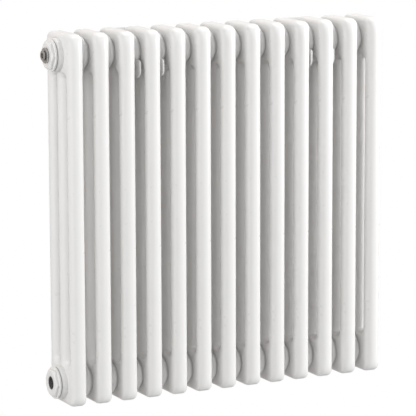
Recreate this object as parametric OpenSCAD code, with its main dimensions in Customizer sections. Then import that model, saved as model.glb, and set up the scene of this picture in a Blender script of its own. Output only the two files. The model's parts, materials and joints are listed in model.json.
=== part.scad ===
// Three-column tubular steel radiator, hung on two wall brackets.
//
// Frame: X runs along the row of sections, +Y points into the wall, +Z is up.
// The origin is the middle of the four wall screw holes, on the wall's surface.
// Each section is a pressed top head and bottom head joined by three round tubes.
// Round bosses on the heads meet face to face and form the two water headers.

/* [Radiator] */
// Number of sections in the row
section_count = 13; // [11:2:13]
// Distance from one section to the next
pitch = 45; // [44:0.5:46]
// Overall height of a section
height = 600; // [400:50:900]
// Distance from the middle column to the front or rear column
column_reach = 37.5; // [36:0.5:40]
// Inset of each header's axis from the end of the section
header_inset = 35; // [34:0.5:38]
// Offset of the row's middle from the middle of the wall fixings
row_offset = -20.5; // [-22:0.5:-19]

/* [Tubes] */
// Outside diameter of a column tube
tube_d = 25; // [24:0.5:26]
// Wall thickness of a column tube
tube_wall = 1.5; // [1:0.1:2]

/* [Heads] */
// Height of a pressed head, from its closed end to the weld on the tubes
head_h = 72; // [68:1:80]
// How far the head's shell stands proud of the tubes
head_proud = 0.2; // [0.1:0.1:0.6]
// Sheet thickness of the head
head_wall = 1.6; // [1.2:0.1:2]
// Height of the body that joins the three columns
bridge_h = 70; // [64:1:70]
// Radius of the arch between two columns, under that body
arch_r = 6; // [4:0.5:6]
// Radius of the head's front and rear top corners, seen from the side
corner_r = 22; // [16:1:26]
// Radius along the top edges, seen from the front
edge_r = 6; // [5:0.5:12]
// Outside diameter of a header boss
boss_d = 53.2; // [51:0.2:55]
// Bore of the header through the bosses
header_bore_d = 46; // [44:0.5:47]

/* [End fittings] */
// Diameter of the thread between an end bush and the header
header_thread_d = 41.9; // [41:0.1:43]
// Diameter of the bore in an end bush
port_d = 19; // [18:0.1:21]
// Width across the flats of an end bush
bush_flats = 42; // [40:0.5:44]
// How far an end bush stands out of the header
bush_out = 9.5; // [9:0.5:14]
// Diameter of the disc on the air vent
plug_d = 24.8; // [24:0.2:28]
// How far the air vent stands out of its bush
plug_out = 7; // [6:0.5:9]
// Diameter of the bleed screw
bleed_d = 6; // [5:0.5:7]

/* [Wall brackets] */
// Clear distance from the wall to the rear tubes
wall_gap = 30; // [25:1:40]
// Distance between the two brackets
bracket_spacing = 310.5; // [308:0.5:312]
// Distance from a bracket's middle to the middle of each cheek
cheek_offset = 20.5; // [20:0.5:21]
// Sheet thickness of a bracket
bracket_t = 2.5; // [2.5:0.5:3]
// Distance between the two screw holes of a bracket
hole_spacing = 60; // [50:1:70]
// Diameter of a wall screw hole
hole_d = 9; // [6:0.5:10]
// Height of the upper header's axis above the middle of the screw holes
hook_rise = 22; // [18:1:26]

/* [Hidden] */
// Clearances: a running fit, a seated thread and a hooked part
run_gap = 0.05;
thread_gap = 0.05;
hook_gap = 0.3;

// Overlap that lets one shape cut cleanly through another
cut = 1;

tube_r = tube_d / 2;
tube_bore_r = tube_r - tube_wall;
header_y = -(wall_gap + tube_r + column_reach);
top_header_z = hook_rise;
bottom_header_z = top_header_z - (height - 2 * header_inset);
tube_low_z = bottom_header_z - header_inset + head_h;
tube_high_z = top_header_z + header_inset - head_h;

// Heads: the side outline is wider than the columns, so that it rounds only the top
head_r = tube_r + head_proud;
side_half = column_reach + head_r + 3;
end_half = head_r + 0.3;
bridge_low = header_inset - bridge_h;
stub_low = header_inset - head_h;

// Bosses: a bevelled rim and a small conical foot
boss_r = boss_d / 2;
boss_half = pitch / 2;
boss_rim = 3;
boss_bevel = 1.6;
foot_r = boss_r + 1.2;
foot_low = head_r - 0.5;
foot_high = 13.5;
header_bore_r = header_bore_d / 2;

// Bushes, gaskets and the threaded rings they screw into
gasket_t = 1;
gasket_r = boss_r + 0.2;
gasket_hole_r = header_thread_d / 2 + 0.3;
flange_t = 3;
flange_r = boss_r - 0.4;
flange_bevel = 0.8;
shank_r = header_thread_d / 2 - thread_gap;
shank_l = 16;
ring_l = 18;
port_r = port_d / 2;
port_mouth = 1.5;
hex_corner_r = bush_flats / 2 / cos(30);
hex_face_r = 19.5;
hex_chamfer = 2.7;

// Flush plug and flush bush at the right end, each turned by a hexagonal key
flush_inset = 0.5;
flush_bevel = 1;
plug_key_flats = 12;
plug_key_depth = 8;
bush_key_flats = 24;
bush_key_depth = 4;

// Air vent
seal_t = 1;
seal_r = 12;
plug_r = plug_d / 2;
plug_rim = 2;
plug_bevel = 0.7;
plug_neck_r = 6;
plug_cap_r = 8;
plug_cap_t = 2.1;
plug_cap_bevel = 0.6;
plug_shank_r = port_r - thread_gap;
plug_shank_l = 12;
plug_face = bush_out + plug_out;
plug_inner = bush_out - plug_shank_l;
seal_hole_r = plug_shank_r + 0.2;

// Bleed screw, its seat and the recess around its key
bleed_r = bleed_d / 2;
bleed_seat_r = 1.5;
bleed_tip = 3;
bleed_tip_r = 1.2;
bleed_seat = plug_inner + bleed_tip;
bleed_recess_r = 4.2;
bleed_recess = plug_face - 3;
bleed_gap = 0.3;
bleed_key = 5;
bleed_key_end = plug_face - 0.3;

// Hooks: outline measured from the header's axis, front to rear and upwards
cradle_r = boss_r + hook_gap + 1.5;
nose_front = -36.5;
nose_top = -13;
nose_low = -41.5;
nose_round = 12;
nose_tip_round = 4;
horn_top = 10;
horn_front = -6;
horn_rear = 18;
plate_half = cheek_offset + bracket_t / 2;
plate_top = 28;
plate_low = -72;

// Pads in the hooks
pad_r = boss_r + hook_gap;
pad_lip_r = cradle_r + 3.5;
pad_lip_t = 0.8;
pad_arc = 130;

paint = [0.95, 0.95, 0.94];
steel = [0.62, 0.62, 0.64];
chrome = [0.78, 0.79, 0.8];
fibre = [0.35, 0.34, 0.33];
rubber = [0.12, 0.12, 0.12];
pad_white = [0.85, 0.85, 0.85];

$fn = 72;

sections = [for (i = [1:section_count]) i];

function two_digits(i) = i < 10 ? str("0", i) : str(i);
function top_name(i) = str("top_head_", two_digits(i));
function bottom_name(i) = str("bottom_head_", two_digits(i));
function tubes_name(i) = str("tubes_", two_digits(i));
function section_x(i) = row_offset + (i - (section_count + 1) / 2) * pitch;

left_end_x = section_x(1) - boss_half;
right_end_x = section_x(section_count) + boss_half;

// ---- Placing ----

// Turns a shape built along +Z so that it lies along +X.
module along_x() {
    rotate([0, 90, 0]) children();
}

// Extrudes an outline drawn in Y and Z along X, centred.
module extrude_x(length) {
    rotate([90, 0, 90]) linear_extrude(length, center = true) children();
}

// Extrudes an outline drawn in X and Z along Y, centred.
module extrude_y(length) {
    rotate([90, 0, 0]) linear_extrude(length, center = true) children();
}

module at_top_head(i) {
    translate([section_x(i), header_y, top_header_z]) children();
}

module at_bottom_head(i) {
    translate([section_x(i), header_y, bottom_header_z]) mirror([0, 0, 1]) children();
}

// Places an end fitting, built outwards along +X from the boss's end face.
module at_left_end(z) {
    translate([left_end_x, header_y, z]) mirror([1, 0, 0]) children();
}

module at_right_end(z) {
    translate([right_end_x, header_y, z]) children();
}

module at_bracket(side) {
    translate([side * bracket_spacing / 2, header_y, top_header_z]) children();
}

module at_columns() {
    for (y = [-column_reach, 0, column_reach]) translate([0, y, 0]) children();
}

module at_cheeks() {
    for (side = [-1, 1]) translate([side * cheek_offset, 0, 0]) children();
}

// ---- Heads and tubes ----

// A rectangle from low to high whose two upper corners are round.
module arched_outline(half, low, high, r) {
    translate([-half, low]) square([2 * half, high - r - low]);
    translate([-(half - r), low]) square([2 * (half - r), high - low]);
    for (side = [-1, 1]) translate([side * (half - r), high - r]) circle(r);
}

// The body that bridges the three columns, drawn in by the given inset.
module bridge(inset) {
    low = bridge_low + inset;
    high = header_inset - inset;
    difference() {
        intersection() {
            translate([0, 0, low]) linear_extrude(high - low) {
                square([2 * (head_r - inset), 2 * column_reach], center = true);
                for (side = [-1, 1]) translate([0, side * column_reach]) circle(head_r - inset);
            }
            extrude_x(4 * head_r) arched_outline(side_half - inset, low, high, corner_r - inset);
            extrude_y(4 * side_half) arched_outline(end_half - inset, low, high, edge_r - inset);
        }
        for (side = [-1, 1]) translate([0, side * column_reach / 2, bridge_low])
            along_x() cylinder(h = 4 * head_r, r = arch_r + inset, center = true);
    }
}

// Header boss through the head, with a foot where it leaves the bridge.
module boss() {
    along_x() rotate_extrude() polygon([
        [0, -boss_half], [boss_r - boss_bevel, -boss_half],
        [boss_r, -(boss_half - boss_rim)], [boss_r, -foot_high],
        [foot_r, -foot_low], [foot_r, foot_low],
        [boss_r, foot_high], [boss_r, boss_half - boss_rim],
        [boss_r - boss_bevel, boss_half], [0, boss_half]
    ]);
}

// Pressed shell: header axis at the origin, closed end up, open tube stubs down.
module head() {
    color(paint) difference() {
        union() {
            bridge(0);
            boss();
            at_columns() translate([0, 0, stub_low]) cylinder(h = -stub_low, r = tube_r);
        }
        bridge(head_wall);
        along_x() cylinder(h = pitch + 2 * cut, r = header_bore_r, center = true);
        at_columns() translate([0, 0, stub_low - cut]) cylinder(h = cut - stub_low, r = tube_bore_r);
    }
}

module tubes(i) {
    color(paint) translate([section_x(i), header_y, tube_low_z]) at_columns() difference() {
        cylinder(h = tube_high_z - tube_low_z, r = tube_r);
        translate([0, 0, -cut]) cylinder(h = tube_high_z - tube_low_z + 2 * cut, r = tube_bore_r);
    }
}

// ---- End fittings ----

module washer(inner_r, outer_r, thickness) {
    along_x() difference() {
        cylinder(h = thickness, r = outer_r);
        translate([0, 0, -cut]) cylinder(h = thickness + 2 * cut, r = inner_r);
    }
}

// Threaded steel rings inside the end bosses, one in each header.
module thread_rings() {
    color(steel) for (z = [top_header_z, bottom_header_z]) {
        translate([0, 0, z]) translate([-ring_l, 0, 0])
            washer(header_thread_d / 2, header_bore_r, ring_l);
    }
}

module gasket() {
    color(fibre) washer(gasket_hole_r, gasket_r, gasket_t);
}

// Reducing bush: flange, chamfered hexagon and a threaded shank in the header.
module bush() {
    hex_low = gasket_t + cut;
    color(paint) along_x() difference() {
        union() {
            translate([0, 0, -shank_l]) cylinder(h = shank_l + hex_low, r = shank_r);
            translate([0, 0, gasket_t]) rotate_extrude() polygon([
                [0, 0], [flange_r, 0], [flange_r, flange_t - flange_bevel],
                [flange_r - flange_bevel, flange_t], [0, flange_t]
            ]);
            intersection() {
                translate([0, 0, hex_low])
                    rotate(30) cylinder(h = bush_out - hex_low, r = hex_corner_r, $fn = 6);
                rotate_extrude() polygon([
                    [0, gasket_t], [hex_corner_r + cut, gasket_t],
                    [hex_corner_r + cut, bush_out - hex_chamfer],
                    [hex_face_r, bush_out], [0, bush_out]
                ]);
            }
        }
        translate([0, 0, -shank_l - cut]) cylinder(h = shank_l + bush_out + 2 * cut, r = port_r);
        translate([0, 0, bush_out - port_mouth])
            cylinder(h = port_mouth + cut, r1 = port_r, r2 = port_r + port_mouth + cut);
    }
}

module hexagonal_cut(flats, depth) {
    translate([0, 0, -flush_inset - depth])
        cylinder(h = depth + flush_inset + cut, r = flats / 2 / cos(30), $fn = 6);
}

// Threaded disc that ends just inside the boss's face.
module flush_disc() {
    translate([0, 0, -shank_l]) cylinder(h = shank_l - flush_inset - flush_bevel, r = shank_r);
    translate([0, 0, -flush_inset - flush_bevel])
        cylinder(h = flush_bevel, r1 = shank_r, r2 = shank_r - flush_bevel);
}

module flush_plug() {
    color(paint) along_x() difference() {
        flush_disc();
        hexagonal_cut(plug_key_flats, plug_key_depth);
    }
}

// Flush bush with a threaded port; the key fits in front of the port.
module flush_bush() {
    color(paint) along_x() difference() {
        flush_disc();
        hexagonal_cut(bush_key_flats, bush_key_depth);
        translate([0, 0, -shank_l - cut]) cylinder(h = shank_l + cut, r = port_r);
    }
}

// Air vent: a disc, a neck and a cap on a threaded shank. The bleed screw closes a small
// seat at the inner end of its bore.
module vent_plug() {
    top = plug_out - seal_t;
    color(chrome) along_x() difference() {
        union() {
            translate([0, 0, bush_out + seal_t]) rotate_extrude() polygon([
                [0, 0], [plug_r, 0], [plug_r, plug_rim], [plug_r - plug_bevel, plug_rim + plug_bevel],
                [plug_neck_r, plug_rim + plug_bevel], [plug_neck_r, top - plug_cap_t],
                [plug_cap_r, top - plug_cap_t], [plug_cap_r, top - plug_cap_bevel],
                [plug_cap_r - plug_cap_bevel, top], [0, top]
            ]);
            translate([0, 0, plug_inner]) cylinder(h = plug_shank_l + seal_t + cut, r = plug_shank_r);
        }
        translate([0, 0, bleed_seat]) cylinder(h = plug_face - bleed_seat + cut, r = bleed_r + run_gap);
        translate([0, 0, plug_inner - cut]) cylinder(h = bleed_tip + 2 * cut, r = bleed_seat_r);
        translate([0, 0, bleed_recess]) cylinder(h = plug_face - bleed_recess + cut, r = bleed_recess_r);
    }
}

module vent_seal() {
    color(rubber) translate([bush_out, 0, 0]) washer(seal_hole_r, seal_r, seal_t);
}

// Bleed screw: square key head, plain shank and conical tip.
module bleed_screw() {
    tip = bleed_seat + bleed_gap;
    key = bleed_recess + bleed_gap;
    color(steel) along_x() {
        translate([0, 0, tip]) rotate_extrude() polygon([
            [0, 0], [bleed_tip_r, 0], [bleed_r, bleed_tip], [bleed_r, key + cut - tip], [0, key + cut - tip]
        ]);
        translate([-bleed_key / 2, -bleed_key / 2, key])
            cube([bleed_key, bleed_key, bleed_key_end - key]);
    }
}

// ---- Wall brackets ----

// Side outline of a cheek: an arm from the wall that ends in an upturned nose.
module cheek_outline() {
    wall_y = -header_y;
    difference() {
        union() {
            translate([nose_front + nose_round, nose_low]) square([nose_round * 2, nose_top - nose_low]);
            translate([nose_front, nose_low + nose_round])
                square([nose_round, nose_top - nose_tip_round - nose_low - nose_round]);
            translate([nose_front + nose_round, nose_low + nose_round]) circle(nose_round);
            translate([nose_front + nose_tip_round, nose_low + nose_round])
                square([nose_round, nose_top - nose_low - nose_round]);
            translate([nose_front + nose_tip_round, nose_top - nose_tip_round]) circle(nose_tip_round);
            polygon([
                [-nose_round, nose_low], [column_reach, nose_low], [wall_y, plate_low],
                [wall_y, plate_top], [wall_y - horn_rear, horn_top], [horn_front, horn_top]
            ]);
        }
        circle(cradle_r);
        translate([-cradle_r * 2, nose_top]) square([cradle_r * 2, cradle_r * 2]);
        translate([-cradle_r, 0]) square([2 * cradle_r, cradle_r]);
    }
}

// Folded bracket: two hooked cheeks on a back plate with two screw holes.
module bracket() {
    color(paint) difference() {
        union() {
            at_cheeks() extrude_x(bracket_t) cheek_outline();
            translate([-plate_half, -header_y - bracket_t, plate_low])
                cube([2 * plate_half, bracket_t, plate_top - plate_low]);
        }
        for (side = [-1, 1])
            translate([0, -header_y + cut, side * hole_spacing / 2 - hook_rise])
                rotate([90, 0, 0]) cylinder(h = bracket_t + 2 * cut, r = hole_d / 2);
    }
}

// Channel-shaped plastic pads that line the hooks under the header.
module hook_pads() {
    start = 270 - pad_arc / 2;
    color(pad_white) at_cheeks() rotate([90, 0, 90]) {
        rotate([0, 0, start]) rotate_extrude(angle = pad_arc) {
            translate([pad_r, -bracket_t / 2 - pad_lip_t])
                square([cradle_r - pad_r, bracket_t + 2 * pad_lip_t]);
            for (side = [-1, 1])
                translate([pad_r, side * (bracket_t + pad_lip_t) / 2 - pad_lip_t / 2])
                    square([pad_lip_r - pad_r, pad_lip_t]);
        }
    }
}

// ---- Assembly ----

for (i = sections) {
    at_top_head(i) head();
    at_bottom_head(i) head();
    tubes(i);
}

translate([left_end_x, header_y, 0]) mirror([1, 0, 0]) thread_rings();  // thread_rings_left
translate([right_end_x, header_y, 0]) thread_rings();  // thread_rings_right

at_left_end(top_header_z) gasket();  // gasket_top_left
at_left_end(bottom_header_z) gasket();  // gasket_bottom_left
at_left_end(top_header_z) bush();  // bush_top_left
at_left_end(bottom_header_z) bush();  // bush_bottom_left

at_left_end(top_header_z) vent_plug();
at_left_end(top_header_z) vent_seal();
at_left_end(top_header_z) bleed_screw();

at_right_end(top_header_z) flush_plug();  // flush_plug_right
at_right_end(bottom_header_z) flush_bush();  // flush_bush_right

at_bracket(-1) bracket();  // bracket_left
at_bracket(1) bracket();  // bracket_right
at_bracket(-1) hook_pads();  // hook_pads_left
at_bracket(1) hook_pads();  // hook_pads_right
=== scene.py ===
"""Looks for the three-column tubular radiator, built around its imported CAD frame.

Every object is in metres in the row frame: X along the row, +Y into the wall, +Z up.
Shapes are worked out in millimetres and scaled once, when their mesh is made.
"""

import json
import math

import bmesh
import bpy
import numpy as np
from mathutils import Matrix, Vector


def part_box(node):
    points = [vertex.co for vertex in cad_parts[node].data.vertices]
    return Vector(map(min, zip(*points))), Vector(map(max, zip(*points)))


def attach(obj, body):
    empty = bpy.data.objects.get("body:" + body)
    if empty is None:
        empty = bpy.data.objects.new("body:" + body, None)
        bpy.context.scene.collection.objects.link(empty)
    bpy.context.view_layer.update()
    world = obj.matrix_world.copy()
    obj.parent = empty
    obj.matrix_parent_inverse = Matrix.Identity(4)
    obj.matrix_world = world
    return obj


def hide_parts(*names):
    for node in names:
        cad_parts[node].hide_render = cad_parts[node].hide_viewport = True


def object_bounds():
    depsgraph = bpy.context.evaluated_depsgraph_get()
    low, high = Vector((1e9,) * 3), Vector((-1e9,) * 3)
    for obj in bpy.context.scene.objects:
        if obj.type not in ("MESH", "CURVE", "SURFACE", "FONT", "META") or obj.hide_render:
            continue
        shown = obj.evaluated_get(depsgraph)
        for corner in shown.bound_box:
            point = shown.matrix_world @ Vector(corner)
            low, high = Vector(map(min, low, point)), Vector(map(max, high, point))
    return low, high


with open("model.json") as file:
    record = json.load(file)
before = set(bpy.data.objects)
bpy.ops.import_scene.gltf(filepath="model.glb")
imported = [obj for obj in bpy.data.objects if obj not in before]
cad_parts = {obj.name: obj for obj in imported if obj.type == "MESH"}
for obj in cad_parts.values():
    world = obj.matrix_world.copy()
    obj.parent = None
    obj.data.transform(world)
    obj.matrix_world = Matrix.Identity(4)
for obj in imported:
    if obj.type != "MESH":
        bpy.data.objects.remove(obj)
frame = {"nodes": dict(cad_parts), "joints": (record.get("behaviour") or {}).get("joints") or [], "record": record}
cad_box = [list(corner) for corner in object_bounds()]

MM = 0.001
SECTIONS = sum(name.startswith("tubes_") for name in frame["nodes"])

# ---------------------------------------------------------------- places, from the frame

mounts = {m["name"]: m for m in frame["record"]["mounts"]}
joints = {j["name"]: j for j in frame["joints"]}

top_axis = Vector(joints["bleed_turn"]["pos_m"])
bottom_axis = Vector(mounts["valve_port_left"]["pos_m"])
head_low, head_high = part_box("top_head_01")
tube_low, tube_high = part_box("tubes_01")
bush_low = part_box("bush_bottom_left")[0]

PITCH = (head_high.x - head_low.x) / MM
HEAD_DEPTH = (head_high.y - head_low.y) / MM
HEAD_TOP = (head_high.z - top_axis.z) / MM
STUB_END = (head_low.z - top_axis.z) / MM
TUBE_R = (tube_high.x - tube_low.x) / 2 / MM
TUBE_LENGTH = (tube_high.z - tube_low.z) / MM
REACH = (tube_high.y - tube_low.y) / 2 / MM - TUBE_R
HEAD_R = HEAD_DEPTH / 2 - REACH
BUSH_OUT = (head_low.x - bush_low.x) / MM
PORT_R = mounts["valve_port_left"]["dims"]["r_mm"]


def two_digits(i):
    return f"{i:02d}"


def section_x(i):
    low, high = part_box("tubes_" + two_digits(i))
    return (low.x + high.x) / 2


# ---------------------------------------------------------------- materials

PAINT_COLOUR = (0.755, 0.747, 0.737)
PAINT_SHADES = (0.993, 1.007)
# A noise value outside this range counts as its nearer end.
NOISE_LOW = 0.3
NOISE_HIGH = 0.7


def new_material(name, colour, metallic, roughness):
    material = bpy.data.materials.new(name)
    material.use_nodes = True
    shader = material.node_tree.nodes["Principled BSDF"]
    shader.inputs["Base Color"].default_value = (*colour, 1)
    shader.inputs["Metallic"].default_value = metallic
    shader.inputs["Roughness"].default_value = roughness
    return material, shader


def noise(tree, scale, detail):
    """A noise texture in the object's own space. Scale is in features per metre."""
    coordinates = tree.nodes.new("ShaderNodeTexCoord")
    texture = tree.nodes.new("ShaderNodeTexNoise")
    texture.inputs["Scale"].default_value = scale
    texture.inputs["Detail"].default_value = detail
    tree.links.new(coordinates.outputs["Object"], texture.inputs["Vector"])
    return texture.outputs["Fac"]


def spread(tree, value, low, high):
    """Maps a noise value to a number from low to high."""
    node = tree.nodes.new("ShaderNodeMapRange")
    node.inputs["From Min"].default_value = NOISE_LOW
    node.inputs["From Max"].default_value = NOISE_HIGH
    node.inputs["To Min"].default_value = low
    node.inputs["To Max"].default_value = high
    tree.links.new(value, node.inputs["Value"])
    return node.outputs["Result"]


def two_tone(tree, value, dark, light, low=0.35, high=0.65):
    """Maps a value to a colour, from dark at the low value to light at the high one."""
    ramp = tree.nodes.new("ShaderNodeValToRGB")
    ramp.color_ramp.elements[0].position = low
    ramp.color_ramp.elements[0].color = (*dark, 1)
    ramp.color_ramp.elements[1].position = high
    ramp.color_ramp.elements[1].color = (*light, 1)
    tree.links.new(value, ramp.inputs["Fac"])
    return ramp.outputs["Color"]


def bump(tree, shader, layers):
    """Stacks bump layers, each a height value, its distance in mm and its strength."""
    previous = None
    for height, distance, strength in layers:
        node = tree.nodes.new("ShaderNodeBump")
        node.inputs["Distance"].default_value = distance * MM
        node.inputs["Strength"].default_value = strength
        tree.links.new(height, node.inputs["Height"])
        if previous:
            tree.links.new(previous, node.inputs["Normal"])
        previous = node.outputs["Normal"]
    tree.links.new(previous, shader.inputs["Normal"])


def white_paint():
    """Gloss powder coat with a fine orange peel."""
    material, shader = new_material("white_paint", PAINT_COLOUR, 0, 0.3)
    tree = material.node_tree
    dark, light = ([channel * k for channel in PAINT_COLOUR] for k in PAINT_SHADES)
    tree.links.new(two_tone(tree, noise(tree, 14, 2), dark, light), shader.inputs["Base Color"])
    tree.links.new(spread(tree, noise(tree, 60, 3), 0.27, 0.35), shader.inputs["Roughness"])
    bump(tree, shader, [(noise(tree, 420, 1), 0.06, 0.2)])
    shader.inputs["Coat Weight"].default_value = 0.2
    shader.inputs["Coat Roughness"].default_value = 0.15
    return material


def chrome_plate():
    """Satin chrome over a cast fitting: slightly warm, with small pits and cloudy patches."""
    material, shader = new_material("chrome_plate", (0.6, 0.59, 0.57), 1, 0.28)
    tree = material.node_tree
    tree.links.new(two_tone(tree, noise(tree, 420, 3), (0.42, 0.41, 0.395), (0.72, 0.71, 0.69)),
                   shader.inputs["Base Color"])
    tree.links.new(spread(tree, noise(tree, 900, 2), 0.2, 0.36), shader.inputs["Roughness"])
    bump(tree, shader, [(noise(tree, 320, 2), 0.12, 0.35)])
    return material


def raw_steel():
    """Machined thread, slightly oily. Its dark colour inside the fittings is painted shade of their hollows."""
    # The dark base colour stands in for the shade inside the port and the vent's recess (painted shade).
    material, shader = new_material("raw_steel", (0.2, 0.19, 0.18), 0.9, 0.4)
    tree = material.node_tree
    tree.links.new(two_tone(tree, noise(tree, 300, 3), (0.12, 0.115, 0.11), (0.28, 0.27, 0.26)),
                   shader.inputs["Base Color"])
    tree.links.new(spread(tree, noise(tree, 700, 2), 0.3, 0.5), shader.inputs["Roughness"])
    bump(tree, shader, [(noise(tree, 1200, 1), 0.03, 0.3)])
    return material


def fibre():
    """Pressed fibre with a fine grain, coloured dark: the dark tone is painted shade of the groove line between
    the flange and the boss.
    """
    material, shader = new_material("fibre_gasket", (0.2, 0.195, 0.19), 0, 0.8)
    tree = material.node_tree
    tree.links.new(two_tone(tree, noise(tree, 1400, 3), (0.15, 0.145, 0.14), (0.26, 0.25, 0.245)),
                   shader.inputs["Base Color"])
    bump(tree, shader, [(noise(tree, 1600, 2), 0.08, 0.5)])
    return material


def rubber():
    """Matt black rubber of the vent's washer."""
    material, shader = new_material("black_rubber", (0.03, 0.03, 0.03), 0, 0.6)
    tree = material.node_tree
    tree.links.new(spread(tree, noise(tree, 500, 2), 0.5, 0.7), shader.inputs["Roughness"])
    bump(tree, shader, [(noise(tree, 900, 2), 0.03, 0.3)])
    return material


def pad_plastic():
    """Off-white plastic of the pads in the hooks."""
    material, shader = new_material("white_plastic", (0.72, 0.72, 0.71), 0, 0.45)
    tree = material.node_tree
    tree.links.new(spread(tree, noise(tree, 400, 2), 0.38, 0.52), shader.inputs["Roughness"])
    bump(tree, shader, [(noise(tree, 1500, 1), 0.03, 0.3)])
    return material


MATERIALS = {
    "white_paint": white_paint(),
    "chrome_plate": chrome_plate(),
    "raw_steel": raw_steel(),
    "fibre_gasket": fibre(),
    "black_rubber": rubber(),
    "white_plastic": pad_plastic(),
}

# ---------------------------------------------------------------- mesh tools

# A rounded corner takes at most this share of each side next to it.
CURVE_SHARE = 0.45
# A higher value, per millimetre, gives a polygon crisper corners.
CORNER_CRISPNESS = 2.0


def make_mesh(name, points_mm, faces, sharp_degrees):
    """A smooth mesh with outward normals and sharp edges above the given angle."""
    mesh = bpy.data.meshes.new(name)
    mesh.from_pydata([tuple(p) for p in np.asarray(points_mm) * MM], [], [tuple(f) for f in faces])
    work = bmesh.new()
    work.from_mesh(mesh)
    bmesh.ops.recalc_face_normals(work, faces=work.faces)
    work.to_mesh(mesh)
    work.free()
    mesh.validate()
    mesh.shade_smooth()
    mesh.set_sharp_from_angle(angle=math.radians(sharp_degrees))
    return mesh


def place(name, mesh, matrix, slot, body, nodes):
    """Adds a piece with the mesh, riding on a body in place of the CAD nodes listed, if any."""
    piece = bpy.data.objects.new(name, mesh)
    bpy.context.scene.collection.objects.link(piece)
    piece.matrix_world = matrix
    if not mesh.materials:
        mesh.materials.append(MATERIALS[slot])
    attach(piece, body)
    if nodes:
        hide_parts(*nodes)
    return piece


def rounded(profile, size, steps=4):
    """The profile with a small curve in place of each corner between its two ends."""
    result = [profile[0]]
    for before, corner, after in zip(profile, profile[1:], profile[2:]):
        corner = np.array(corner, float)
        arms = [np.array(end, float) - corner for end in (before, after)]
        ends = [corner + arm * min(size / np.hypot(*arm), CURVE_SHARE) for arm in arms]
        for k in range(steps + 1):
            t = k / steps
            result.append(tuple((1 - t) ** 2 * ends[0] + 2 * t * (1 - t) * corner + t * t * ends[1]))
    return result + [profile[-1]]


def turned(profile, sides, closed=True):
    """Points and quads of a solid about the X axis, from pairs of x and radius.

    A radius may be a function of the angle. An open profile is capped at both ends.
    """
    angles = [2 * math.pi * k / sides for k in range(sides)]
    points = []
    for x, radius in profile:
        for angle in angles:
            r = radius(angle) if callable(radius) else radius
            points.append((x, r * math.cos(angle), r * math.sin(angle)))
    rings = len(profile)
    faces = []
    for i in range(rings if closed else rings - 1):
        a, b = i * sides, (i + 1) % rings * sides
        for k in range(sides):
            n = (k + 1) % sides
            faces.append((a + k, a + n, b + n, b + k))
    if not closed:
        faces.append(tuple(range(sides)))
        faces.append(tuple((rings - 1) * sides + k for k in range(sides)))
    return points, faces


def polygon_radius(flats, corners, corner_r):
    """Radius of a regular polygon with softened corners, as a function of the angle."""
    step = 2 * math.pi / corners

    def radius(angle):
        exact = flats / 2 / math.cos(angle % step - step / 2)
        total = math.exp(-CORNER_CRISPNESS * exact) + math.exp(-CORNER_CRISPNESS * corner_r)
        return -math.log(total) / CORNER_CRISPNESS

    return radius


# ---------------------------------------------------------------- pressed heads

BOSS_R = 26.6
END_BORE_R = 23.0
INNER_BORE_R = 21.3
HOLLOW_R = 21.2
GROOVE_R = 21.6
GROOVE_TO = 17.4
RIM_R = 24.8
RIM_LENGTH = 3.6
TOP_EDGE_R = 7.0
TOP_CORNER_R = 28.0
SIDE_MARGIN = 6.2
VALLEY_LOW = STUB_END
VALLEY_HIGH = STUB_END + 13
TAPER = 20.0
RIM_ROUND = 0.9
GROOVE_ROUND = 0.3
GROOVE_OVERLAP = 1.0
BOSS_SIDES = 120
HEAD_SHARP = 50
HEAD_CELL = 1.3
# The grid reaches past the head by about these numbers of cells.
MARGIN_LOW = 1.37
MARGIN_HIGH = 1.5
SETTLE_ROUNDS = 3
PROBE = 0.01
LEAST_SLOPE = 0.5


def round_meet(a, b, r):
    """Intersection of two solids, given by distance, with its edge rounded to radius r."""
    outside = np.hypot(np.maximum(a + r, 0), np.maximum(b + r, 0)) - r
    return outside + np.minimum(np.maximum(a + r, b + r), 0)


def smooth_step(t):
    t = np.clip(t, 0, 1)
    return t * t * (3 - 2 * t)


def head_distance(x, y, z):
    """Signed distance of a head in mm: header axis along X at the origin, closed end up."""
    # Seen from above: three separate columns below the valleys, one long oval above them.
    radius = TUBE_R + (HEAD_R - TUBE_R) * smooth_step((z - STUB_END) / TAPER)
    oval = np.hypot(x, y - np.clip(y, -REACH, REACH)) - radius
    nearest = np.clip(np.round(y / REACH), -1, 1) * REACH
    columns = np.hypot(x, y - nearest) - radius
    rise = smooth_step((z - VALLEY_LOW) / (VALLEY_HIGH - VALLEY_LOW))
    plan = columns + (oval - columns) * rise
    # Seen from the side: a flat top with large round corners.
    half = HEAD_DEPTH / 2 + SIDE_MARGIN
    out_y = np.abs(y) - (half - TOP_CORNER_R)
    out_z = z - (HEAD_TOP - TOP_CORNER_R)
    side = np.hypot(np.maximum(out_y, 0), np.maximum(out_z, 0)) + np.minimum(np.maximum(out_y, out_z), 0)
    body = round_meet(plan, side - TOP_CORNER_R, TOP_EDGE_R)
    return np.maximum(body, HOLLOW_R - np.hypot(y, z))


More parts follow.
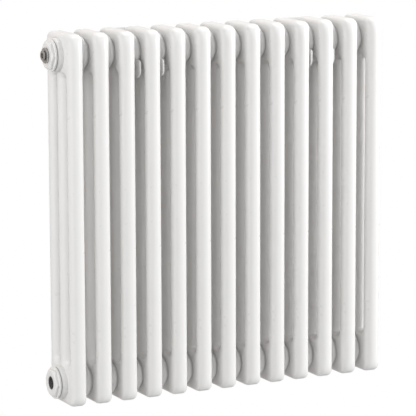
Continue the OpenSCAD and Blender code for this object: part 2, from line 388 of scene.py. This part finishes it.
def surface_nets(distance, low, high, cell):
    """Quad mesh of a signed distance's zero surface, with its points settled onto it."""
    axes = [np.arange(a - cell * MARGIN_LOW, b + cell * MARGIN_HIGH, cell) for a, b in zip(low, high)]
    grid = np.meshgrid(*axes, indexing="ij")
    field = distance(*grid)
    size = np.array(field.shape)
    total = np.zeros((*(size - 1), 3))
    hits = np.zeros(tuple(size - 1))
    corners = [(i, j, k) for i in (0, 1) for j in (0, 1) for k in (0, 1)]

    def at(corner):
        return tuple(slice(c, c + n - 1) for c, n in zip(corner, size))

    for a in corners:
        for axis in range(3):
            if a[axis]:
                continue
            b = tuple(1 if n == axis else c for n, c in enumerate(a))
            fa, fb = field[at(a)], field[at(b)]
            crossed = (fa < 0) != (fb < 0)
            t = np.where(crossed, fa / np.where(crossed, fa - fb, 1), 0)
            for n in range(3):
                total[..., n] += crossed * (a[n] + (t if n == axis else 0))
            hits += crossed
    used = hits > 0
    index = np.full(used.shape, -1)
    index[used] = np.arange(used.sum())
    cells = np.argwhere(used)
    start = np.array([axis[0] for axis in axes])
    points = start + (cells + total[used] / hits[used][:, None]) * cell
    faces = []
    for axis in range(3):
        u, v = [n for n in range(3) if n != axis]
        ahead = [slice(1, -1)] * 3
        ahead[axis] = slice(0, -1)
        behind = list(ahead)
        behind[axis] = slice(1, None)
        f0, f1 = field[tuple(ahead)] < 0, field[tuple(behind)] < 0
        spots = np.argwhere(f0 != f1) + np.array([0 if n == axis else 1 for n in range(3)])
        step_u, step_v = np.eye(3, dtype=int)[u], np.eye(3, dtype=int)[v]
        faces.append(np.stack([index[tuple((spots - a * step_u - b * step_v).T)]
                               for a, b in ((0, 0), (1, 0), (1, 1), (0, 1))], 1))
    for _ in range(SETTLE_ROUNDS):
        here = distance(*points.T)
        slope = np.stack([(distance(*(points + d).T) - distance(*(points - d).T)) / (2 * PROBE)
                          for d in np.eye(3) * PROBE], 1)
        points -= slope * (here / np.maximum((slope ** 2).sum(1), LEAST_SLOPE ** 2))[:, None]
    faces = np.concatenate(faces)
    return points, faces[(faces >= 0).all(1)]


def cut_flat(points, faces, z):
    """Cuts a mesh level at height z, keeps the upper part and closes it."""
    mesh = bpy.data.meshes.new("uncut")
    mesh.from_pydata([tuple(p) for p in points], [], [tuple(f) for f in faces])
    work = bmesh.new()
    work.from_mesh(mesh)
    everything = work.verts[:] + work.edges[:] + work.faces[:]
    bmesh.ops.bisect_plane(work, geom=everything, plane_co=(0, 0, z), plane_no=(0, 0, 1), clear_inner=True)
    rim = [edge for edge in work.edges if edge.is_boundary]
    bmesh.ops.edgeloop_fill(work, edges=rim)
    work.verts.ensure_lookup_table()
    work.verts.index_update()
    points = [tuple(v.co) for v in work.verts]
    faces = [tuple(v.index for v in face.verts) for face in work.faces]
    work.free()
    bpy.data.meshes.remove(mesh)
    return points, faces


def boss_side(is_end):
    """Half of a header boss's outline: a bevelled rim at a free end, or else a groove at the foot."""
    face = PITCH / 2
    if is_end:
        return rounded([(face, END_BORE_R), (face, RIM_R), (face - RIM_LENGTH, BOSS_R), (0, BOSS_R)],
                       RIM_ROUND)
    return rounded([(face, INNER_BORE_R), (face, BOSS_R), (GROOVE_TO, BOSS_R), (GROOVE_TO, GROOVE_R),
                    (HEAD_R - GROOVE_OVERLAP, GROOVE_R), (0, GROOVE_R)], GROOVE_ROUND, steps=2)


def boss_ring(left_is_end, right_is_end):
    """Both bosses of a head, as one ring about the header axis."""
    left = [(-x, r) for x, r in boss_side(left_is_end)]
    return turned(left + boss_side(right_is_end)[::-1], BOSS_SIDES)


def make_heads():
    """A top and a bottom head for each section. The bottom one is the top one turned over."""
    low = [-HEAD_R, -HEAD_DEPTH / 2, STUB_END - 2 * HEAD_CELL]
    high = [HEAD_R, HEAD_DEPTH / 2, HEAD_TOP]
    body_points, body_faces = cut_flat(*surface_nets(head_distance, low, high, HEAD_CELL), STUB_END)
    upside_down = Matrix.Rotation(math.pi, 4, "X")
    meshes = {}
    for i in range(1, SECTIONS + 1):
        ends = (i == 1, i == SECTIONS)
        if ends not in meshes:
            ring_points, ring_faces = boss_ring(*ends)
            count = len(body_points)
            faces = body_faces + [tuple(k + count for k in face) for face in ring_faces]
            meshes[ends] = make_mesh("head", body_points + ring_points, faces, HEAD_SHARP)
        mesh = meshes[ends]
        x = section_x(i)
        top = Matrix.Translation((x, top_axis.y, top_axis.z))
        bottom = Matrix.Translation((x, bottom_axis.y, bottom_axis.z)) @ upside_down
        tag = two_digits(i)
        place("pressed_top_head_" + tag, mesh, top, "white_paint", "radiator", ["top_head_" + tag])
        place("pressed_bottom_head_" + tag, mesh, bottom, "white_paint", "radiator", ["bottom_head_" + tag])


# ---------------------------------------------------------------- column tubes

TUBE_WALL = 1.5
TUBE_SIDES = 72
TUBE_SHARP = 40


def make_tubes():
    """The three tubes of each section, turned about X and then stood upright."""
    inner = TUBE_R - TUBE_WALL
    outline = [(0, inner), (0, TUBE_R), (TUBE_LENGTH, TUBE_R), (TUBE_LENGTH, inner)]
    tube_points, tube_faces = turned(outline, TUBE_SIDES)
    points, faces = [], []
    for centre in (-REACH, 0, REACH):
        count = len(points)
        points += [(y, z + centre, x) for x, y, z in tube_points]
        faces += [tuple(k + count for k in face) for face in tube_faces]
    mesh = make_mesh("column_tubes", points, faces, TUBE_SHARP)
    for i in range(1, SECTIONS + 1):
        tag = two_digits(i)
        spot = Matrix.Translation((section_x(i), top_axis.y, tube_low.z))
        place("column_tubes_" + tag, mesh, spot, "white_paint", "radiator", ["tubes_" + tag])


# ---------------------------------------------------------------- end fittings

# Each fitting is drawn with +x out of the radiator and then turned to the left end.
SHANK_END = -16.0
SHANK_R = 20.9
GASKET_R = 25.6
GASKET_T = 1.0
GASKET_GAP = 0.3
FLANGE_R = 26.2
FLANGE_T = 3.0
WASHER_ROUND = 0.3
WASHER_SIDES = 96
WASHER_SHARP = 40
FITTING_SHARP = 32

BUSH_FLATS = 42.0
BUSH_ROUND = 0.7
BUSH_SIDES = 144
HEX_FOOT = 0.1
HEX_CORNER_CUT = 0.5
HEX_FACE_R = 19.5
HEX_FACE_ROUND = 0.5
HEX_CHAMFER = 2.7
CHAMFER_STEPS = 12
CHAMFER_INSET = 0.05

SLEEVE_R = 11.2
SLEEVE_T = 0.4
SLEEVE_BEVEL = 0.5
SLEEVE_BEVEL_DEPTH = 0.15
SLEEVE_OUT = BUSH_OUT - 0.7

THREAD_PITCH = 1.814
THREAD_DEPTH = 0.9
THREAD_CLEARANCE = 0.1
THREAD_BACKING = 0.3
THREAD_STEPS = 88
THREAD_SIDES = 72
THREAD_SHARP = 30
MOUTH_LENGTH = 1.2

SEAL_T = 1.0
SEAL_R = 12.0
SEAL_GAP = 0.2
VENT_R = 12.4
VENT_RIM = 2.0
VENT_BEVEL = 0.7
VENT_NECK_R = 6.0
VENT_CAP_R = 8.0
VENT_CAP_T = 2.1
VENT_ROUND = 0.35
VENT_OUT = (head_low.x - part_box("vent_plug")[0].x) / MM
VENT_SHANK_R = PORT_R - 0.05
VENT_SHANK_END = BUSH_OUT - 12
VENT_HOLE_R = 1.5
VENT_SIDES = 96

RECESS_R = 4.3
RECESS_FLOOR = VENT_OUT - 3.0
SEAT_LENGTH = 3
# Sizes of a dark lining in the vent's recess, which is painted shade.
SHADE_LINING_R = 4.0
SHADE_LINING_OVERLAP = 0.3
SHADE_LINING_FLOOR_T = 0.1
SHADE_LINING_GAP = 0.2
SHADE_LINING_ROUND = 0.2

SCREW_R = 3.0
SCREW_GAP = 0.05
SCREW_TIP_R = 1.2
SCREW_LIFT = 3.3
SCREW_CONE = 3
SMALL_SIDES = 64
SHOULDER_OUT = 0.2
KEY_OUT = 0.3
KEY_FLATS = 5.0
KEY_CORNER_R = 3.2
KEY_CHAMFER = 0.5
KEY_TIP_SCALE = 0.84
KEY_END = (head_low.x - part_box("bleed_screw")[0].x) / MM


def make_bush():
    """A round flange with a chamfered hexagon on it, bored for the port."""
    base = GASKET_T + FLANGE_T
    corner = BUSH_FLATS / 2 / math.cos(math.pi / 6)
    cut_corner = corner - HEX_CORNER_CUT
    bore = SLEEVE_R - SLEEVE_T
    profile = rounded([(SHANK_END, bore), (SHANK_END, SHANK_R), (GASKET_T, SHANK_R),
                       (GASKET_T, FLANGE_R), (base, FLANGE_R), (base, corner)], BUSH_ROUND)
    profile.append((base + HEX_FOOT, polygon_radius(BUSH_FLATS, 6, cut_corner)))
    for k in range(CHAMFER_STEPS + 1):
        cone = HEX_FACE_R + (corner - HEX_FACE_R) * (1 - k / CHAMFER_STEPS)
        x = BUSH_OUT - HEX_CHAMFER * (1 - k / CHAMFER_STEPS)
        profile.append((x - CHAMFER_INSET, polygon_radius(BUSH_FLATS, 6, min(cone, cut_corner))))
    profile += [(BUSH_OUT, HEX_FACE_R - HEX_FACE_ROUND), (BUSH_OUT, SLEEVE_R + SLEEVE_BEVEL),
                (BUSH_OUT - SLEEVE_BEVEL_DEPTH, SLEEVE_R), (SLEEVE_OUT, bore)]
    return make_mesh("bush", *turned(profile, BUSH_SIDES), FITTING_SHARP)


def make_port_thread():
    """The bare steel thread inside a port, cut as a true helix. Its dark colour is partly painted shade of the
    deep bore.
    """

    def groove(x):
        def radius(angle):
            turn = (x / THREAD_PITCH - angle / (2 * math.pi)) % 1
            mouth = max(0.0, x - (SLEEVE_OUT - MOUTH_LENGTH))
            crest = PORT_R + THREAD_CLEARANCE
            return min(crest + THREAD_DEPTH * abs(2 * turn - 1) + mouth, SLEEVE_R - THREAD_BACKING)
        return radius

    stations = [SLEEVE_OUT + (SHANK_END - SLEEVE_OUT) * k / THREAD_STEPS for k in range(THREAD_STEPS + 1)]
    profile = [(SLEEVE_OUT, SLEEVE_R)] + [(x, groove(x)) for x in stations] + [(SHANK_END, SLEEVE_R)]
    return make_mesh("port_thread", *turned(profile, THREAD_SIDES), THREAD_SHARP)


def make_washer(name, inner, outer, low, high):
    """A flat ring with its outer edges rounded, from low to high along the axis."""
    profile = rounded([(low, inner), (low, outer), (high, outer), (high, inner)], WASHER_ROUND)
    return make_mesh(name, *turned(profile, WASHER_SIDES), WASHER_SHARP)


def make_vent():
    """The air vent: a disc, a neck and a cap, with a recess that holds the bleed screw."""
    back = BUSH_OUT + SEAL_T
    rim = back + VENT_RIM
    bevel = rim + VENT_BEVEL
    cap = VENT_OUT - VENT_CAP_T
    seat = VENT_SHANK_END + SEAT_LENGTH
    hole = SCREW_R + SCREW_GAP
    profile = rounded([(VENT_SHANK_END, VENT_HOLE_R), (VENT_SHANK_END, VENT_SHANK_R), (back, VENT_SHANK_R),
                       (back, VENT_R), (rim, VENT_R), (bevel, VENT_R - VENT_BEVEL), (bevel, VENT_NECK_R),
                       (cap, VENT_NECK_R), (cap, VENT_CAP_R), (VENT_OUT, VENT_CAP_R), (VENT_OUT, RECESS_R),
                       (RECESS_FLOOR, RECESS_R), (RECESS_FLOOR, hole), (seat, hole),
                       (seat, VENT_HOLE_R)], VENT_ROUND)
    return make_mesh("air_vent", *turned(profile, VENT_SIDES), FITTING_SHARP)


def make_recess_shade_lining():
    """A dark steel lining of the vent's recess, which paints the recess's shade."""
    back, front = RECESS_FLOOR - SHADE_LINING_OVERLAP, VENT_OUT - SHADE_LINING_OVERLAP
    floor, wall = RECESS_FLOOR + SHADE_LINING_FLOOR_T, RECESS_R + SHADE_LINING_OVERLAP
    hole = SCREW_R + SHADE_LINING_GAP
    profile = rounded([(back, hole), (back, wall), (front, wall), (front, SHADE_LINING_R), (floor, SHADE_LINING_R),
                       (floor, hole)], SHADE_LINING_ROUND)
    return make_mesh("vent_socket", *turned(profile, SMALL_SIDES), FITTING_SHARP)


def make_bleed_screw():
    """A round shank with a cone at its inner end and a square key at its outer end."""
    key = polygon_radius(KEY_FLATS, 4, KEY_CORNER_R)
    tip = VENT_SHANK_END + SCREW_LIFT
    profile = [(tip, SCREW_TIP_R), (tip + SCREW_CONE, SCREW_R), (RECESS_FLOOR + SHOULDER_OUT, SCREW_R),
               (RECESS_FLOOR + KEY_OUT, key), (KEY_END - KEY_CHAMFER, key),
               (KEY_END, lambda angle: key(angle) * KEY_TIP_SCALE)]
    return make_mesh("bleed_screw", *turned(profile, SMALL_SIDES, closed=False), FITTING_SHARP)


def make_fittings():
    """The fittings of the left end. Those of the right end keep their CAD shape."""
    turn = Matrix.Rotation(math.pi, 4, "Z")
    end_x = head_low.x
    top = Matrix.Translation((end_x, top_axis.y, top_axis.z)) @ turn
    bottom = Matrix.Translation((end_x, bottom_axis.y, bottom_axis.z)) @ turn
    bush = make_bush()
    gasket = make_washer("gasket", SHANK_R + GASKET_GAP, GASKET_R, 0, GASKET_T)
    for spot, side in ((top, "top"), (bottom, "bottom")):
        place(f"hex_bush_{side}_left", bush, spot, "white_paint", "radiator", [f"bush_{side}_left"])
        # The gasket's dark colour paints the shadow line in the groove between the flange and the boss.
        place(f"fibre_gasket_{side}_left", gasket, spot, "fibre_gasket", "radiator", [f"gasket_{side}_left"])
    # The port's thread is real; its dark steel colour also paints the shade of the deep bore.
    place("port_thread_left", make_port_thread(), bottom, "raw_steel", "radiator", [])
    seal = make_washer("vent_washer", VENT_SHANK_R + SEAL_GAP, SEAL_R, BUSH_OUT, BUSH_OUT + SEAL_T)
    place("vent_washer", seal, top, "black_rubber", "radiator", ["vent_seal"])
    place("air_vent", make_vent(), top, "chrome_plate", "radiator", ["vent_plug"])
    # A dark steel lining paints the shade inside the vent's recess.
    place("vent_socket", make_recess_shade_lining(), top, "raw_steel", "radiator", [])
    place("bleed_key", make_bleed_screw(), top, "raw_steel", "bleed_screw", ["bleed_screw"])


# ---------------------------------------------------------------- the CAD's own pieces


def dress_cad_nodes():
    """Gives each CAD node the material of its slot. Those that no piece replaces are seen."""
    slots = {subpart["node"]: subpart["material_slot"] for subpart in frame["record"]["subparts"]}
    for name, node in frame["nodes"].items():
        node.data.materials.clear()
        node.data.materials.append(MATERIALS[slots[name]])


make_heads()
make_tubes()
make_fittings()
dress_cad_nodes()

# ---------------------------------------------------------------- floor, light and camera

FLOOR_SIZE = 60.0
FLOOR_DROP = 0.5
FLOOR_GLOW = 1.0
FRONT_COLOUR = (0.985, 0.995, 1.0)
BACK_COLOUR = (1.08, 0.98, 0.92)
WORLD_LEVEL = 0.52
WORLD_TILT = (0.1, 0.0, 0.16)
# Places and sizes in metres. Of these, glossy surfaces mirror only the first.
SOFTBOXES = {
    "key": {"place_at": (2.2, -1.8, 0.5), "size": 1.6, "watts": 76},
    "left": {"place_at": (-2.4, -0.85, 0.2), "size": 2.4, "watts": 41},
    "top": {"place_at": (0.6, 1.2, 2.0), "size": 1.5, "watts": 46},
    "low": {"place_at": (0.1, -0.3, -2.3), "size": 1.2, "watts": 6},
}

# The camera's view of the radiator's middle, fitted to the tube edges and the header axes.
AZIMUTH_DEGREES = -26.58
ELEVATION_DEGREES = 10.08
ROLL_DEGREES = -0.19
DISTANCE = 4.476
AIM_LEFT = 0.0159
AIM_DOWN = 0.0038
SENSOR_MM = 36
LENS_MM = 236.07692
CLIP_END = 200


def add_floor():
    """A large white floor below the radiator. Only the camera sees it, and it lights nothing."""
    mesh = bpy.data.meshes.new("floor")
    s = FLOOR_SIZE / 2
    mesh.from_pydata([(-s, -s, 0), (s, -s, 0), (s, s, 0), (-s, s, 0)], [], [(0, 1, 2, 3)])
    floor = bpy.data.objects.new("floor", mesh)
    bpy.context.scene.collection.objects.link(floor)
    floor.location = (0, 0, cad_box[0][2] - FLOOR_DROP)
    material, shader = new_material("floor", (0, 0, 0), 0, 0.9)
    shader.inputs["Specular IOR Level"].default_value = 0
    shader.inputs["Emission Color"].default_value = (1, 1, 1, 1)
    shader.inputs["Emission Strength"].default_value = FLOOR_GLOW
    mesh.materials.append(material)
    floor.visible_diffuse = False
    floor.visible_glossy = False
    floor.visible_shadow = False


def add_area(name, place_at, aim, size, watts):
    """A round softbox that faces the point aimed at."""
    light = bpy.data.lights.new(name, "AREA")
    light.shape = "DISK"
    light.size = size
    light.energy = watts
    holder = bpy.data.objects.new(name, light)
    bpy.context.scene.collection.objects.link(holder)
    holder.location = place_at
    direction = Vector(aim) - Vector(place_at)
    holder.rotation_euler = direction.to_track_quat("-Z", "Y").to_euler()
    return holder


def add_lights():
    """A pale studio, warmer behind the radiator, with softboxes left, right, below and above."""
    world = bpy.data.worlds.new("studio")
    bpy.context.scene.world = world
    world.use_nodes = True
    tree = world.node_tree
    background = tree.nodes["Background"]
    direction = tree.nodes.new("ShaderNodeTexCoord")
    facing = tree.nodes.new("ShaderNodeVectorMath")
    facing.operation = "DOT_PRODUCT"
    facing.inputs[1].default_value = (0, 1, 0)
    tree.links.new(direction.outputs["Generated"], facing.inputs[0])
    tree.links.new(two_tone(tree, facing.outputs["Value"], FRONT_COLOUR, BACK_COLOUR, 0.2, 0.9),
                   background.inputs["Color"])
    tilt = tree.nodes.new("ShaderNodeVectorMath")
    tilt.operation = "DOT_PRODUCT"
    tilt.inputs[1].default_value = WORLD_TILT
    level = tree.nodes.new("ShaderNodeMath")
    level.operation = "ADD"
    level.inputs[1].default_value = WORLD_LEVEL
    tree.links.new(direction.outputs["Generated"], tilt.inputs[0])
    tree.links.new(tilt.outputs["Value"], level.inputs[0])
    tree.links.new(level.outputs["Value"], background.inputs["Strength"])
    middle = [(low + high) / 2 for low, high in zip(*cad_box)]
    mirrored = next(iter(SOFTBOXES))
    for name, softbox in SOFTBOXES.items():
        holder = add_area(name, aim=middle, **softbox)
        holder.visible_glossy = name == mirrored


def add_camera():
    """A long lens at the front left of the radiator and a little above it."""
    azimuth, elevation = math.radians(AZIMUTH_DEGREES), math.radians(ELEVATION_DEGREES)
    roll = math.radians(ROLL_DEGREES)
    middle_x = section_x((SECTIONS + 1) // 2)
    target = Vector((middle_x, top_axis.y, (top_axis.z + bottom_axis.z) / 2))
    back = Vector((math.sin(azimuth) * math.cos(elevation), -math.cos(azimuth) * math.cos(elevation),
                   math.sin(elevation)))
    right = (-back).cross(Vector((0, 0, 1))).normalized()
    up = right.cross(-back)
    aim = target - right * AIM_LEFT - up * AIM_DOWN
    turned_right = right * math.cos(roll) + up * math.sin(roll)
    turned_up = up * math.cos(roll) - right * math.sin(roll)
    camera_data = bpy.data.cameras.new("camera")
    camera_data.sensor_width = SENSOR_MM
    camera_data.lens = LENS_MM
    camera_data.clip_end = CLIP_END
    camera = bpy.data.objects.new("camera", camera_data)
    bpy.context.scene.collection.objects.link(camera)
    spot = aim + back * DISTANCE
    camera.matrix_world = Matrix((
        (turned_right.x, turned_up.x, back.x, spot.x),
        (turned_right.y, turned_up.y, back.y, spot.y),
        (turned_right.z, turned_up.z, back.z, spot.z),
        (0, 0, 0, 1)))
    bpy.context.scene.camera = camera


add_floor()
add_lights()
add_camera()
bpy.context.scene.view_settings.view_transform = "Standard"
